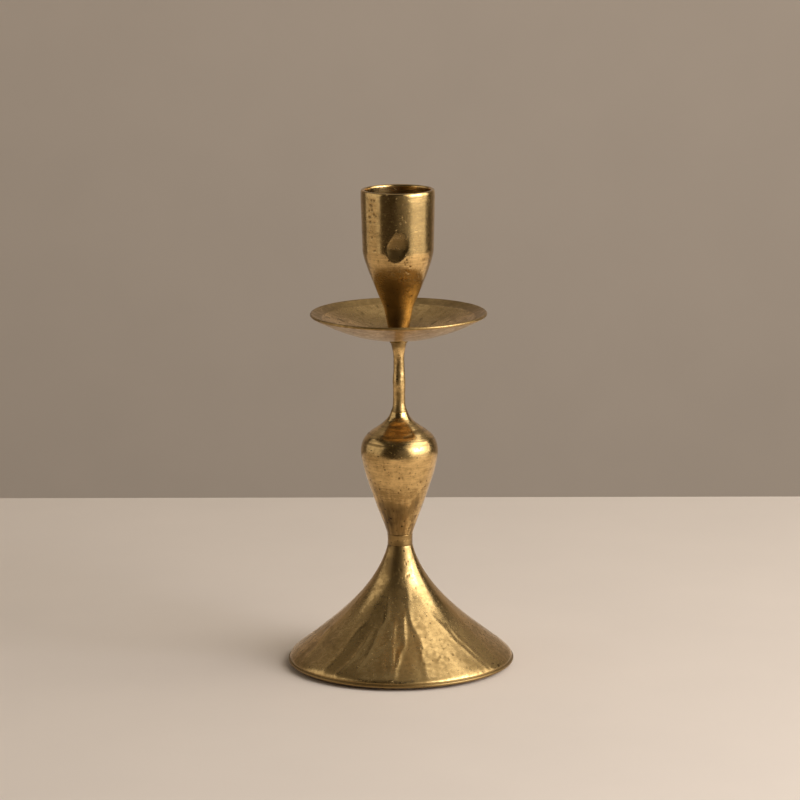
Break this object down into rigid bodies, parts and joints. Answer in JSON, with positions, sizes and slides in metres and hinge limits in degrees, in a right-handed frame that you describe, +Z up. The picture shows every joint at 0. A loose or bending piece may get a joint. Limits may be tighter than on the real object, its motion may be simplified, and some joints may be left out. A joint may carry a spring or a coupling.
{
  "type": "candlestick",
  "caption": "Slender brass candlestick: flared foot, pear-shaped knop, thin stem, shallow drip pan and tapering cup for one taper candle.",
  "frame": {"origin": "middle of the foot's underside, on the surface that the candlestick stands on", "axes": "+Z up along the stem towards the candle cup; the shape is turned about Z, so X and Y are equal"},
  "size_m": [0.08, 0.08, 0.1694],
  "materials": {
    "cast_brass": "aged cast brass, hand finished, satin with pits and darker patina",
    "brass_rod": "aged forged brass rod, satin",
    "zinc_steel": "bright zinc plate, slightly dulled"
  },
  "bodies": {
    "root": {"candle_cup": "cast_brass", "drip_pan": "cast_brass", "pan_collar": "brass_rod", "stem": "brass_rod", "knop": "cast_brass", "neck_collar": "cast_brass", "foot": "cast_brass", "tie_stud": "zinc_steel", "foot_washer": "zinc_steel", "lock_washer": "zinc_steel", "foot_nut": "zinc_steel"}
  },
  "joints": []
}
